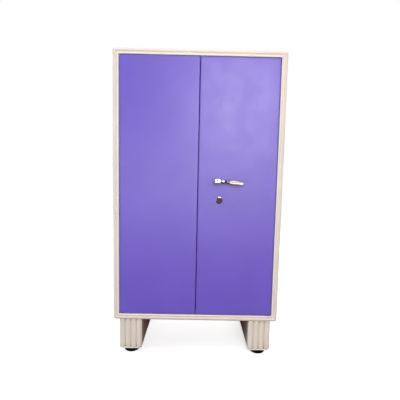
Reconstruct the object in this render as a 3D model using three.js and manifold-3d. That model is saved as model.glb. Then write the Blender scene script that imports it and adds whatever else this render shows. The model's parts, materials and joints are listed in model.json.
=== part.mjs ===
// Two-door sheet-steel storage cupboard on two fluted plinth runners with round rubber feet.
//
// Millimetres, +Z up. The front faces -Y and +X is to the right of someone who faces it.
// The origin is on the floor, under the middle of the bounding box, handle included.
// Depths behind the front plane are called v, and FRONT_Y + v is their place along Y.
// Every folded sheet is its outline in section, extruded along its length.

import * as THREE from "three";
import { mergeVertices } from "three/addons/utils/BufferGeometryUtils.js";
import Module from "manifold-3d";

const wasm = await Module();
wasm.setup();

// ---------------------------------------------------------------- driving dimensions
const WIDTH = 838;
const CARCASS_HEIGHT = 1340;
const CARCASS_DEPTH = 432;
const HANDLE_REACH = 44;
const FOOT_HEIGHT = 25;
const RUNNER_HEIGHT = 159;
const SHEET = 1.2;
const HEAVY_SHEET = 1.5;
const GAP = 0.3;

// ---------------------------------------------------------------- carcass
const FRONT_Y = HANDLE_REACH - (CARCASS_DEPTH + HANDLE_REACH) / 2;
const BACK_Y = FRONT_Y + CARCASS_DEPTH;
const BASE_HEIGHT = FOOT_HEIGHT + RUNNER_HEIGHT;
const TOP_Z = BASE_HEIGHT + CARCASS_HEIGHT;
const MIDDLE_Z = BASE_HEIGHT + CARCASS_HEIGHT / 2;
const HALF_WIDTH = WIDTH / 2;
const FRAME_RETURN = 24;
const BODY_FRONT_Y = FRONT_Y + FRAME_RETURN + GAP;
const BODY_BACK_Y = BACK_Y - SHEET - GAP;
const SIDE_FLANGE = 15;
const TOP_FLANGE = 20;
const TOP_BEND = 8;
const FLOOR_LIP = 28;

// ---------------------------------------------------------------- front frame
const FRAME_FACE = 30;
const FRAME_EDGE_RADIUS = 5;
const FRAME_GROOVE = 2;
const STOP_V = 31;
const STOP_WIDTH = 13;
const MITRE_GAP = 0.22;
const WEB_TOP_Z = TOP_Z - FRAME_FACE;
const WEB_BOTTOM_Z = BASE_HEIGHT + FRAME_FACE;

// ---------------------------------------------------------------- doors
const DOOR_GAP = 2.5;
const SEAM_GAP = 3;
const DOOR_V = 1;
const DOOR_THICKNESS = 20;
const DOOR_LIP = 16;
const DOOR_FACE_Y = FRONT_Y + DOOR_V;
const DOOR_BACK_Y = DOOR_FACE_Y + DOOR_THICKNESS;
const DOOR_OUTER_X = HALF_WIDTH - FRAME_FACE - DOOR_GAP;
const DOOR_BOTTOM_Z = WEB_BOTTOM_Z + DOOR_GAP;
const DOOR_TOP_Z = WEB_TOP_Z - DOOR_GAP;
const STIFFENER_HALF = 20;
const STIFFENER_FOOT = 10;
const STIFFENER_X = { left: -42, right: 240 };

// ---------------------------------------------------------------- hinge pins and bushes
const PIVOT_X = DOOR_OUTER_X - 14;
const PIVOT_V = 8;
const PIN_RADIUS = 3.5;
const PIN_HEAD_RADIUS = 5.4;
const PIN_HEAD_HEIGHT = 3;
const PIN_REACH = 17;
const BUSH_RADIUS = 5.5;
const BUSH_FLANGE_RADIUS = 7;
const BUSH_FLANGE = 1.2;
const BUSH_HEIGHT = 7;
const BUFFER_X = 200;
const BUFFER_RADIUS = 5.5;

// ---------------------------------------------------------------- runners and feet
const RUNNER_OUTER_X = 387.5;
const RUNNER_INNER_X = 274.5;
const RUNNER_SETBACK = 8;
const RIB_COUNT = 4;
const RIB_DEPTH = 5.5;
const RIB_STEPS = 6;
const FOOT_RADIUS = 39;
const FOOT_INSET = FOOT_RADIUS + 10.5;
const FOOT_OUTSET = 2;
const FOOT_EDGE = 3;
const FOOT_BORE_RADIUS = 4.3;
const FOOT_COUNTERBORE_RADIUS = 9;
const FOOT_COUNTERBORE_DEPTH = 9;
const FOOT_BOLT = { headRadius: 7.5, headBottom: 3, dome: 1.5, top: 44 };
const RUNNER_FRONT_Y = FRONT_Y + RUNNER_SETBACK;
const RUNNER_REAR_Y = BACK_Y - RUNNER_SETBACK;
const FOOT_X = (RUNNER_OUTER_X + RUNNER_INNER_X) / 2 + FOOT_OUTSET;

// ---------------------------------------------------------------- shelves
const SHELF_COUNT = 3;
const SHELF_FRONT_V = 52;
const SHELF_FLANGE = 25;
const SHELF_HALF_WIDTH = 414;
const SUPPORT_LEG = 22;
const SHELF_PITCH = (WEB_TOP_Z - BASE_HEIGHT) / (SHELF_COUNT + 1);

// ---------------------------------------------------------------- handle, rods and lock
const HANDLE_X = 94.6;
const HANDLE_Z = 901;
const HANDLE_DROOP = THREE.MathUtils.degToRad(4.8);
const HUB_HALF_LENGTH = 14.5;
const HUB_HALF_HEIGHT = 10;
const NECK_RADIUS = 6.5;
const COLLAR = { radius: 11, from: 20.3, to: 33 };
const RING = { radius: 8.5, from: 44.5, to: 56.5 };
const GRIP_START = 58;
const GRIP_END = 125.5;
const GRIP_HEIGHT = 21.5;
const GRIP_DEPTH = 20;
const GRIP_AXIS_Y = GRIP_DEPTH / 2 + 2 - HANDLE_REACH - DOOR_V;
const HUB_BACK = 2.6;
const SCREW = { radius: 3.2, x: -2, z: 3, depth: 4 };
const SPINDLE_RADIUS = 5;
const SPINDLE_FRONT = 29.5;
const SPINDLE_TAIL = 0.5;
const HANDLE_BUSH = { radius: 8, flangeRadius: 9.5, flangeTop: 2.3, tail: 6 };
const CAM_V = 18;
const CAM_RADIUS = 22;
const CAM_THICKNESS = 3;
const CAM_NOTCH_WIDTH = 14;
const CAM_NOTCH_DEPTH = 8.5;
const CRANK_RADIUS = 14;
const CRANK_PIN_RADIUS = 3;
const CRANK_OFFSET = CRANK_RADIUS * Math.SQRT1_2;
const ROD_V = 22.5;
const ROD_THICKNESS = 3;
const ROD_WIDTH = 12;
const ROD_OFFSET_X = 12;
const ROD_HEAD_HALF_WIDTH = 10;
const ROD_HEAD_HALF_HEIGHT = 7;
const ROD_SLOT_HALF_HEIGHT = 3.6;
const ROD_HEAD_WALL = 3.8;
const GUIDE = { side: 1, over: 0.4, foot: 8, halfHeight: 6 };
const BOLT_TIP_CLEARANCE = 2.5;
const LOCK_X = 106;
const LOCK_Z = 805;
const LOCK_BEZEL_RADIUS = 17.5;
const LOCK_PLUG_RADIUS = 8;
const LOCK_CRANK_RADIUS = 6;
const LOCK_PIN_RADIUS = 2;
const LOCK_CASE_THICKNESS = 15;
const LOCK_CASE = { halfWidth: 22, bottom: -30, top: 36 };
const LOCK_LUG = { thickness: 2.5, proud: 3.2, bottom: 24, top: 34 };
const KEYWAY = { halfWidth: 0.9, halfHeight: 4.5, depth: 4 };
const LOCK_BOLT_V = 18.5;
const LOCK_BOLT_THICKNESS = 2;
const LOCK_BOLT_WIDTH = 12;
const LOCK_BOLT_FOOT = { bottom: -12, top: 6, end: 4 };
const LOCK_BOLT_SLACK = 0.6;
const TOWER_BOLT_RADIUS = 3.2;
const TOWER_BOLT_V = 26.3;
const TOWER_BOLT_LENGTH = 110;
const TOWER_PLATE_HEIGHT = 80;
const TOWER_PLATE_FROM_EDGE = 22;
const TOWER_PLATE_HALF_WIDTH = 15;
const TOWER_COLLAR = { halfWidth: 6.5, height: 12, wall: 2, fromTop: 4, fromBottom: 16 };
const TOWER_KNOB = { stemRadius: 2.4, stem: 14, radius: 5, from: 9, to: 15, up: 46 };

// ---------------------------------------------------------------- finishes
const paint = (color) => new THREE.MeshStandardMaterial({ color, roughness: 0.45, metalness: 0.0 });
const metal = (color, roughness) => new THREE.MeshStandardMaterial({ color, roughness, metalness: 1.0 });
const FINISH = {
  cream: () => paint(0xdccfc1),
  lavender: () => paint(0x7361c4),
  chrome: () => metal(0xe6e6e6, 0.12),
  zinc: () => metal(0xb9bcc0, 0.4),
  brass: () => metal(0xb9974f, 0.35),
  rubber: () => new THREE.MeshStandardMaterial({ color: 0x161312, roughness: 0.8, metalness: 0.0 }),
};

// ---------------------------------------------------------------- geometry helpers
const X_AXIS = new THREE.Vector3(1, 0, 0);
const Y_AXIS = new THREE.Vector3(0, 1, 0);
const Z_AXIS = new THREE.Vector3(0, 0, 1);

function box(x0, x1, y0, y1, z0, z1) {
  const geometry = new THREE.BoxGeometry(x1 - x0, y1 - y0, z1 - z0);
  return geometry.translate((x0 + x1) / 2, (y0 + y1) / 2, (z0 + z1) / 2);
}

function extruded(outline, length) {
  const shape = new THREE.Shape(outline.map(([a, b]) => new THREE.Vector2(a, b)));
  return new THREE.ExtrudeGeometry(shape, { depth: length, steps: 1, bevelEnabled: false });
}

// Outline in (Y, Z), run along X.
function alongX(outline, x0, x1) {
  const turn = new THREE.Matrix4().makeBasis(Y_AXIS, Z_AXIS, X_AXIS);
  return extruded(outline, x1 - x0).applyMatrix4(turn).translate(x0, 0, 0);
}

// Outline in (X, Z), run along Y.
function alongY(outline, y0, y1) {
  return extruded(outline, y1 - y0).rotateX(Math.PI / 2).translate(0, y1, 0);
}

// Outline in (X, Y), run along Z.
function alongZ(outline, z0, z1) {
  return extruded(outline, z1 - z0).translate(0, 0, z0);
}

function cylinderZ(radius, x, y, z0, z1, sides = 24) {
  const geometry = new THREE.CylinderGeometry(radius, radius, z1 - z0, sides);
  return geometry.rotateX(Math.PI / 2).translate(x, y, (z0 + z1) / 2);
}

function cylinderY(radius, x, y0, y1, z, sides = 24) {
  const geometry = new THREE.CylinderGeometry(radius, radius, y1 - y0, sides);
  return geometry.translate(x, (y0 + y1) / 2, z);
}

function cylinderX(radius, x0, x1, y, z, sides = 20) {
  const geometry = new THREE.CylinderGeometry(radius, radius, x1 - x0, sides);
  return geometry.rotateZ(Math.PI / 2).translate((x0 + x1) / 2, y, z);
}

// A turned piece about Z from its (radius, z) profile.
function turned(profile, sides = 28) {
  const points = profile.map(([radius, z]) => new THREE.Vector2(radius, z));
  return new THREE.LatheGeometry(points, sides).rotateX(Math.PI / 2);
}

// Points of a circular arc, angles in degrees.
function arc(centreA, centreB, radius, fromDegrees, toDegrees, steps) {
  return Array.from({ length: steps + 1 }, (_, i) => {
    const angle = THREE.MathUtils.degToRad(fromDegrees + ((toDegrees - fromDegrees) * i) / steps);
    return [centreA + radius * Math.cos(angle), centreB + radius * Math.sin(angle)];
  });
}

// Closed outline of a folded sheet: the path is one face, and the sheet lies on the path's left.
function foldedOutline(path, thickness) {
  const normals = path.slice(1).map(([a, b], i) => {
    const step = new THREE.Vector2(a - path[i][0], b - path[i][1]).normalize();
    return new THREE.Vector2(-step.y, step.x);
  });
  const otherFace = path.map(([a, b], i) => {
    const before = normals[Math.max(i - 1, 0)];
    const after = normals[Math.min(i, normals.length - 1)];
    const mitre = before.clone().add(after).multiplyScalar(thickness / (1 + before.dot(after)));
    return [a + mitre.x, b + mitre.y];
  });
  return [...path, ...otherFace.reverse()];
}

function toSolid(geometry) {
  const bare = geometry.clone();
  bare.deleteAttribute("normal");
  bare.deleteAttribute("uv");
  const merged = mergeVertices(bare, 1e-4);
  return new wasm.Manifold(new wasm.Mesh({
    numProp: 3,
    vertProperties: new Float32Array(merged.attributes.position.array),
    triVerts: new Uint32Array(merged.index.array),
  }));
}

function fromSolid(solid) {
  const mesh = solid.getMesh();
  const geometry = new THREE.BufferGeometry();
  geometry.setAttribute("position", new THREE.BufferAttribute(new Float32Array(mesh.vertProperties), 3));
  geometry.setIndex(new THREE.BufferAttribute(new Uint32Array(mesh.triVerts), 1));
  geometry.computeVertexNormals();
  return geometry;
}

function cut(geometry, ...tools) {
  return fromSolid(tools.reduce((solid, tool) => solid.subtract(toSolid(tool)), toSolid(geometry)));
}

function join(geometry, ...others) {
  return fromSolid(others.reduce((solid, other) => solid.add(toSolid(other)), toSolid(geometry)));
}

// A sheet pan: a box emptied to its wall thickness, then opened on one side.
function hollowed(outer, inner, opening) {
  return cut(box(...outer), box(...inner), box(...opening));
}

const root = new THREE.Group();

function add(name, geometry, finish, parent = root) {
  const mesh = new THREE.Mesh(geometry, FINISH[finish]());
  mesh.name = name;
  parent.add(mesh);
  return mesh;
}

function groupAt(x, y, z, parent = root) {
  const group = new THREE.Group();
  group.position.set(x, y, z);
  parent.add(group);
  return group;
}

const SIDES = [["left", -1], ["right", 1]];
const ENDS = [["top", 1], ["bottom", -1]];

// ---------------------------------------------------------------- carcass panels
function addPanels() {
  // Top: a cap with rounded bends, its flanges down over the tops of the sides.
  const capPath = [
    [HALF_WIDTH, TOP_Z - TOP_FLANGE],
    ...arc(HALF_WIDTH - TOP_BEND, TOP_Z - TOP_BEND, TOP_BEND, 0, 90, 4),
    ...arc(-HALF_WIDTH + TOP_BEND, TOP_Z - TOP_BEND, TOP_BEND, 90, 180, 4),
    [-HALF_WIDTH, TOP_Z - TOP_FLANGE],
  ];
  add("top_panel", alongY(foldedOutline(capPath, SHEET), BODY_FRONT_Y, BODY_BACK_Y), "cream");

  // Sides: flat sheets with inward flanges at front and rear.
  for (const [side, sign] of SIDES) {
    const edge = sign * HALF_WIDTH;
    const inner = edge - sign * SIDE_FLANGE;
    const path = [[inner, BODY_BACK_Y], [edge, BODY_BACK_Y], [edge, BODY_FRONT_Y], [inner, BODY_FRONT_Y]];
    const outline = foldedOutline(path, -sign * SHEET);
    add(`side_panel_${side}`, alongZ(outline, BASE_HEIGHT, TOP_Z - TOP_FLANGE - GAP), "cream");
  }

  // Floor: a tray with upturned lips, between the sides.
  const halfTray = HALF_WIDTH - SHEET - GAP;
  const trayFront = FRONT_Y + STOP_V + SHEET + 2 * GAP;
  const trayBack = BODY_BACK_Y - SHEET - GAP;
  const trayTop = BASE_HEIGHT + FLOOR_LIP;
  const floorTop = BASE_HEIGHT + SHEET;
  add("bottom_panel", cut(
    box(-halfTray, halfTray, trayFront, trayBack, BASE_HEIGHT, trayTop),
    box(-halfTray + SHEET, halfTray - SHEET, trayFront + SHEET, trayBack - SHEET, floorTop, trayTop + 1),
  ), "cream");

  // Back: a flat sheet over the rear flanges, its upper corners rounded like the cap.
  const backOutline = [
    [-HALF_WIDTH, BASE_HEIGHT], [HALF_WIDTH, BASE_HEIGHT],
    ...arc(HALF_WIDTH - TOP_BEND, TOP_Z - TOP_BEND, TOP_BEND, 0, 90, 4),
    ...arc(-HALF_WIDTH + TOP_BEND, TOP_Z - TOP_BEND, TOP_BEND, 90, 180, 4),
  ];
  add("back_panel", alongY(backOutline, BACK_Y - SHEET, BACK_Y), "cream");
}

// ---------------------------------------------------------------- front frame
// Section in (u, v): u inward from the outer edge, v back from the front plane. A rounded
// outer edge, a flat land, a shallow groove, a bead beside the door, the jamb and the stop.
function frameOutline() {
  const path = [
    [0, FRAME_RETURN],
    ...arc(FRAME_EDGE_RADIUS, FRAME_EDGE_RADIUS, FRAME_EDGE_RADIUS, 180, 270, 4),
    [12, 0],
    [13.5, FRAME_GROOVE],
    [20.5, FRAME_GROOVE],
    ...arc(FRAME_FACE - 4, 4, 4, 225, 360, 5),
    [FRAME_FACE, STOP_V],
    [FRAME_FACE + STOP_WIDTH, STOP_V],
  ];
  return foldedOutline(path, SHEET);
}

// A member of the given half length, its ends cut at 45 degrees, centred on its own middle.
function frameMember(halfLength) {
  const geometry = extruded(frameOutline(), 1);
  const position = geometry.attributes.position;
  for (let i = 0; i < position.count; i += 1) {
    const end = position.getZ(i) > 0.5 ? 1 : -1;
    position.setZ(i, end * (halfLength - position.getX(i) - MITRE_GAP));
  }
  return geometry;
}

// Puts a member on one side of the opening: quarter turns go from the left stile round to the top rail.
function placedMember(halfLength, halfAcross, quarterTurns) {
  const turn = new THREE.Matrix4().makeRotationY((quarterTurns * Math.PI) / 2);
  return frameMember(halfLength)
    .translate(-halfAcross, 0, 0)
    .applyMatrix4(turn)
    .translate(0, FRONT_Y, MIDDLE_Z);
}

// Holes through a rail's web for the hinge bushes, the lock rod and the tower bolt.
function railHoles(z, rodX) {
  const z0 = z - 8;
  const z1 = z + 8;
  const bushes = SIDES.map(([, sign]) => (
    cylinderZ(BUSH_RADIUS + GAP, sign * PIVOT_X, FRONT_Y + PIVOT_V, z0, z1)
  ));
  const rodSlot = box(
    rodX - ROD_WIDTH / 2 - 1.5, rodX + ROD_WIDTH / 2 + 1.5,
    FRONT_Y + ROD_V - 1, FRONT_Y + ROD_V + ROD_THICKNESS + 1, z0, z1,
  );
  const towerHole = cylinderZ(TOWER_BOLT_RADIUS + 0.8, STIFFENER_X.left, FRONT_Y + TOWER_BOLT_V, z0, z1);
  return [...bushes, rodSlot, towerHole];
}

function addFrame() {
  const halfHeight = CARCASS_HEIGHT / 2;
  add("frame_stile_left", placedMember(halfHeight, HALF_WIDTH, 0), "cream");
  add("frame_stile_right", placedMember(halfHeight, HALF_WIDTH, 2), "cream");
  const top = placedMember(HALF_WIDTH, halfHeight, 1);
  const bottom = placedMember(HALF_WIDTH, halfHeight, 3);
  add("frame_rail_top", cut(top, ...railHoles(WEB_TOP_Z, HANDLE_X - ROD_OFFSET_X)), "cream");
  add("frame_rail_bottom", cut(bottom, ...railHoles(WEB_BOTTOM_Z, HANDLE_X + ROD_OFFSET_X)), "cream");
}

// ---------------------------------------------------------------- runners and feet
// The runner's shell in plan: outer side, four rounded ribs across the front, inner side.
function runnerShellOutline(sign) {
  const pitch = (RUNNER_OUTER_X - RUNNER_INNER_X) / RIB_COUNT;
  const front = [];
  for (let i = 0; i <= RIB_COUNT * RIB_STEPS; i += 1) {
    const bulge = Math.abs(Math.sin((Math.PI * i) / RIB_STEPS)) ** 0.8;
    const x = sign * (RUNNER_OUTER_X - (pitch * i) / RIB_STEPS);
    front.push([x, RUNNER_FRONT_Y + RIB_DEPTH * (1 - bulge)]);
  }
  const outer = [sign * RUNNER_OUTER_X, RUNNER_REAR_Y];
  const inner = [sign * RUNNER_INNER_X, RUNNER_REAR_Y];
  return foldedOutline([outer, ...front, inner], -sign * HEAVY_SHEET);
}

// The runner's base in side view: the plate that carries the feet, turned up to close the rear.
function runnerBaseOutline() {
  const frontY = RUNNER_FRONT_Y + RIB_DEPTH + HEAVY_SHEET + 2 * GAP;
  const path = [[frontY, FOOT_HEIGHT], [RUNNER_REAR_Y, FOOT_HEIGHT], [RUNNER_REAR_Y, BASE_HEIGHT - 1]];
  return foldedOutline(path, HEAVY_SHEET);
}

function footGeometry() {
  const shoulder = FOOT_HEIGHT - GAP;
  return turned([
    [FOOT_COUNTERBORE_RADIUS, 0],
    ...arc(FOOT_RADIUS - FOOT_EDGE, FOOT_EDGE, FOOT_EDGE, 270, 360, 3),
    [FOOT_RADIUS, shoulder - 1.5],
    [FOOT_RADIUS - 1.5, shoulder],
    [FOOT_BORE_RADIUS, shoulder],
    [FOOT_BORE_RADIUS, FOOT_COUNTERBORE_DEPTH],
    [FOOT_COUNTERBORE_RADIUS, FOOT_COUNTERBORE_DEPTH],
    [FOOT_COUNTERBORE_RADIUS, 0],
  ]);
}

// A round-headed bolt up through the foot and the base plate.
function footBoltGeometry() {
  const { headRadius, headBottom, dome, top } = FOOT_BOLT;
  const headTop = FOOT_COUNTERBORE_DEPTH - GAP;
  const shank = FOOT_BORE_RADIUS - GAP;
  return turned([
    [0, headBottom], [headRadius - dome, headBottom], [headRadius, headBottom + dome],
    [headRadius, headTop], [shank, headTop], [shank, top], [0, top],
  ], 16);
}

function addRunners() {
  for (const [side, sign] of SIDES) {
    const shell = alongZ(runnerShellOutline(sign), FOOT_HEIGHT, BASE_HEIGHT - GAP);
    add(`runner_shell_${side}`, shell, "cream");

    const inset = HEAVY_SHEET + GAP;
    const edges = [sign * (RUNNER_OUTER_X - inset), sign * (RUNNER_INNER_X + inset)];
    const feetY = [["front", RUNNER_FRONT_Y + FOOT_INSET], ["rear", RUNNER_REAR_Y - FOOT_INSET]];
    const bores = feetY.map(([, y]) => cylinderZ(FOOT_BORE_RADIUS, sign * FOOT_X, y, 20, 40, 16));
    const base = alongX(runnerBaseOutline(), Math.min(...edges), Math.max(...edges));
    add(`runner_base_${side}`, cut(base, ...bores), "cream");

    for (const [end, y] of feetY) {
      const place = groupAt(sign * FOOT_X, y, 0);
      add(`foot_${end}_${side}`, footGeometry(), "rubber", place);
      add(`foot_bolt_${end}_${side}`, footBoltGeometry(), "zinc", place);
    }
  }
}

// ---------------------------------------------------------------- shelves
function addShelves() {
  const frontY = FRONT_Y + SHELF_FRONT_V;
  const backY = BODY_BACK_Y - 4;
  const lip = 10;
  const shelfPath = [
    [frontY + lip, -SHELF_FLANGE], [frontY, -SHELF_FLANGE], [frontY, 0],
    [backY, 0], [backY, -SHELF_FLANGE], [backY - lip, -SHELF_FLANGE],
  ];
  const shelfOutline = foldedOutline(shelfPath, -SHEET);
  for (let i = 1; i <= SHELF_COUNT; i += 1) {
    const level = groupAt(0, 0, BASE_HEIGHT + i * SHELF_PITCH);
    add(`shelf_${i}`, alongX(shelfOutline, -SHELF_HALF_WIDTH, SHELF_HALF_WIDTH), "cream", level);
    for (const [side, sign] of SIDES) {
      const wall = sign * (HALF_WIDTH - SHEET - GAP);
      const top = -SHEET - GAP;
      const path = [[wall, top - SUPPORT_LEG], [wall, top], [wall - sign * SUPPORT_LEG, top]];
      const angle = alongY(foldedOutline(path, sign * HEAVY_SHEET), frontY + 14, backY - 14);
      add(`shelf_support_${i}_${side}`, angle, "cream", level);
    }
  }
}

// ---------------------------------------------------------------- doors
// A door pan: flat skin, four folded edges and a lip turned in behind them.
function doorPan(x0, x1) {
  const y0 = DOOR_FACE_Y;
  const y1 = DOOR_BACK_Y;
  return hollowed(
    [x0, x1, y0, y1, DOOR_BOTTOM_Z, DOOR_TOP_Z],
    [x0 + SHEET, x1 - SHEET, y0 + SHEET, y1 - SHEET, DOOR_BOTTOM_Z + SHEET, DOOR_TOP_Z - SHEET],
    [x0 + DOOR_LIP, x1 - DOOR_LIP, y1 - 2 * SHEET, y1 + 1, DOOR_BOTTOM_Z + DOOR_LIP, DOOR_TOP_Z - DOOR_LIP],
  );
}

function pinHoles(sign) {
  return ENDS.map(([, up]) => {
    const edge = up > 0 ? DOOR_TOP_Z : DOOR_BOTTOM_Z;
    return cylinderZ(PIN_RADIUS + GAP, sign * PIVOT_X, FRONT_Y + PIVOT_V, edge - 3, edge + 3);
  });
}

// A hat-section stiffener down the inside of a door, its crown level with the lips.
function stiffener() {
  const footY = DOOR_FACE_Y + SHEET + GAP;
  const wide = STIFFENER_HALF + STIFFENER_FOOT;
  const path = [
    [-wide, footY + SHEET], [-STIFFENER_HALF, footY + SHEET], [-STIFFENER_HALF, DOOR_BACK_Y],
    [STIFFENER_HALF, DOOR_BACK_Y], [STIFFENER_HALF, footY + SHEET], [wide, footY + SHEET],
  ];
  const clear = DOOR_LIP + 2 * GAP;
  return alongZ(foldedOutline(path, -SHEET), DOOR_BOTTOM_Z + clear, DOOR_TOP_Z - clear);
}

// A headed pin up through a door's edge into the rail; the lower pin is the same one turned over.
function hingePin() {
  return turned([
    [0, -SHEET - GAP - PIN_HEAD_HEIGHT],
    [PIN_HEAD_RADIUS, -SHEET - GAP - PIN_HEAD_HEIGHT],
    [PIN_HEAD_RADIUS, -SHEET - GAP],
    [PIN_RADIUS, -SHEET - GAP],
    [PIN_RADIUS, PIN_REACH - 1],
    [PIN_RADIUS - 1, PIN_REACH],
    [0, PIN_REACH],
  ], 20);
}

// A bush pressed into the rail's web, its flange in the gap between web and door.
function hingeBush() {
  const bore = PIN_RADIUS + GAP;
  const flangeBottom = -GAP - BUSH_FLANGE;
  return turned([
    [bore, flangeBottom], [BUSH_FLANGE_RADIUS, flangeBottom], [BUSH_FLANGE_RADIUS, -GAP],
    [BUSH_RADIUS, -GAP], [BUSH_RADIUS, BUSH_HEIGHT], [bore, BUSH_HEIGHT], [bore, flangeBottom],
  ], 20);
}

function addDoors() {
  const seam = SEAM_GAP / 2;
  const leftPan = doorPan(-DOOR_OUTER_X, -seam);
  const rightPan = doorPan(seam, DOOR_OUTER_X);
  const skin = [DOOR_FACE_Y - 1, DOOR_FACE_Y + SHEET + 1];
  const spindleHole = cylinderY(HANDLE_BUSH.radius + GAP, HANDLE_X, ...skin, HANDLE_Z);
  const lockHole = cylinderY(LOCK_PLUG_RADIUS + GAP, LOCK_X, ...skin, LOCK_Z);
  add("door_left", cut(leftPan, ...pinHoles(-1)), "lavender");
  add("door_right", cut(rightPan, ...pinHoles(1), spindleHole, lockHole), "lavender");
  for (const [side, sign] of SIDES) {
    add(`door_stiffener_${side}`, stiffener(), "lavender").position.x = STIFFENER_X[side];
    for (const [end, up] of ENDS) {
      const turn = up > 0 ? 0 : Math.PI;
      const doorEdge = groupAt(sign * PIVOT_X, FRONT_Y + PIVOT_V, up > 0 ? DOOR_TOP_Z : DOOR_BOTTOM_Z);
      doorEdge.rotation.x = turn;
      add(`hinge_pin_${side}_${end}`, hingePin(), "zinc", doorEdge);
      const web = groupAt(sign * PIVOT_X, FRONT_Y + PIVOT_V, up > 0 ? WEB_TOP_Z : WEB_BOTTOM_Z);
      web.rotation.x = turn;
      add(`hinge_bush_${side}_${end}`, hingeBush(), "brass", web);
    }
    // A soft stop on the top rail, behind the door's upper lip.
    const bufferZ = WEB_TOP_Z - STOP_WIDTH / 2;
    const stopY = FRONT_Y + STOP_V - GAP;
    const buffer = cylinderY(BUFFER_RADIUS, sign * BUFFER_X, DOOR_BACK_Y + GAP, stopY, bufferZ, 16);
    add(`door_buffer_${side}`, buffer, "rubber");
  }
}

// ---------------------------------------------------------------- lever handle and its cam
// The handle turns about Y. In its group, Y 0 is the door's face and X runs out along the lever.
function leverGeometry() {
  const axisY = GRIP_AXIS_Y;
  const frontY = -HANDLE_REACH - DOOR_V;
  const hub = box(-HUB_HALF_LENGTH, HUB_HALF_LENGTH, frontY, -HUB_BACK, -HUB_HALF_HEIGHT, HUB_HALF_HEIGHT);
  const neck = cylinderX(NECK_RADIUS, HUB_HALF_LENGTH - 4, GRIP_START + 4, axisY, 0);
  const collar = cylinderX(COLLAR.radius, COLLAR.from, COLLAR.to, axisY, 0);
  const ring = cylinderX(RING.radius, RING.from, RING.to, axisY, 0);
  const gripOutline = [];
  const corner = 6;
  const halfDepth = GRIP_DEPTH / 2;
  const halfHeight = GRIP_HEIGHT / 2;
  for (const [a, b, from] of [[1, 1, 0], [-1, 1, 90], [-1, -1, 180], [1, -1, 270]]) {
    const centreY = axisY + a * (halfDepth - corner);
    gripOutline.push(...arc(centreY, b * (halfHeight - corner), corner, from, from + 90, 4));
  }
  const grip = alongX(gripOutline, GRIP_START, GRIP_END);
  const bore = cylinderY(SPINDLE_RADIUS + GAP, 0, -SPINDLE_FRONT - 0.5, 0, 0);
  const screwRecess = cylinderY(SCREW.radius, SCREW.x, frontY - 1, frontY + SCREW.depth, SCREW.z, 16);
  return cut(join(hub, neck, collar, ring, grip), bore, screwRecess);
}

// The cam: a disc with two crank pins for the rods, and two notches that the lock's bolt enters.
function camGeometry() {
  const y0 = CAM_V - DOOR_V;
  const y1 = y0 + CAM_THICKNESS;
  const pins = [-1, 1].map((sign) => (
    cylinderY(CRANK_PIN_RADIUS, sign * CRANK_OFFSET, y1 - 1, y1 + 6, sign * CRANK_OFFSET, 16)
  ));
  const inner = CAM_RADIUS - CAM_NOTCH_DEPTH;
  const half = CAM_NOTCH_WIDTH / 2;
  return cut(
    join(cylinderY(CAM_RADIUS, 0, y0, y1, 0, 40), ...pins),
    cylinderY(SPINDLE_RADIUS + GAP, 0, y0 - 1, y1 + 1, 0),
    box(-half, half, y0 - 1, y1 + 1, -CAM_RADIUS - 1, -inner),
    box(inner, CAM_RADIUS + 1, y0 - 1, y1 + 1, -half, half),
  );
}

// A rod's flat bar, its yoke at the cam and its tip beside the rail. up is 1 for the upper rod.
function rodGeometry(up) {
  const y0 = ROD_V - DOOR_V;
  const y1 = y0 + ROD_THICKNESS;
  const x = -up * ROD_OFFSET_X;
  const headZ = -up * CRANK_OFFSET;
  const tipZ = (up > 0 ? DOOR_TOP_Z - BOLT_TIP_CLEARANCE : DOOR_BOTTOM_Z + BOLT_TIP_CLEARANCE) - HANDLE_Z;
  const half = ROD_WIDTH / 2;
  const head = box(
    x - ROD_HEAD_HALF_WIDTH, x + ROD_HEAD_HALF_WIDTH, y0, y1,
    headZ - ROD_HEAD_HALF_HEIGHT, headZ + ROD_HEAD_HALF_HEIGHT,
  );
  const bar = box(x - half, x + half, y0, y1, Math.min(headZ, tipZ), Math.max(headZ, tipZ));
  const slotHalf = ROD_HEAD_HALF_WIDTH - ROD_HEAD_WALL;
  const slot = box(
    x - slotHalf, x + slotHalf, y0 - 1, y1 + 1,
    headZ - ROD_SLOT_HALF_HEIGHT, headZ + ROD_SLOT_HALF_HEIGHT,
  );
  return cut(join(head, bar), slot);
}

// A strap over a rod, fixed to the door's lip.
function guideGeometry() {
  const y0 = DOOR_THICKNESS + GAP + SHEET;
  const crown = ROD_V - DOOR_V + ROD_THICKNESS + GUIDE.over + SHEET;
  const half = ROD_WIDTH / 2 + GUIDE.side + SHEET;
  const wide = half + GUIDE.foot;
  const path = [[-wide, y0], [-half, y0], [-half, crown], [half, crown], [half, y0], [wide, y0]];
  return alongZ(foldedOutline(path, -SHEET), -GUIDE.halfHeight, GUIDE.halfHeight);
}

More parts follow.
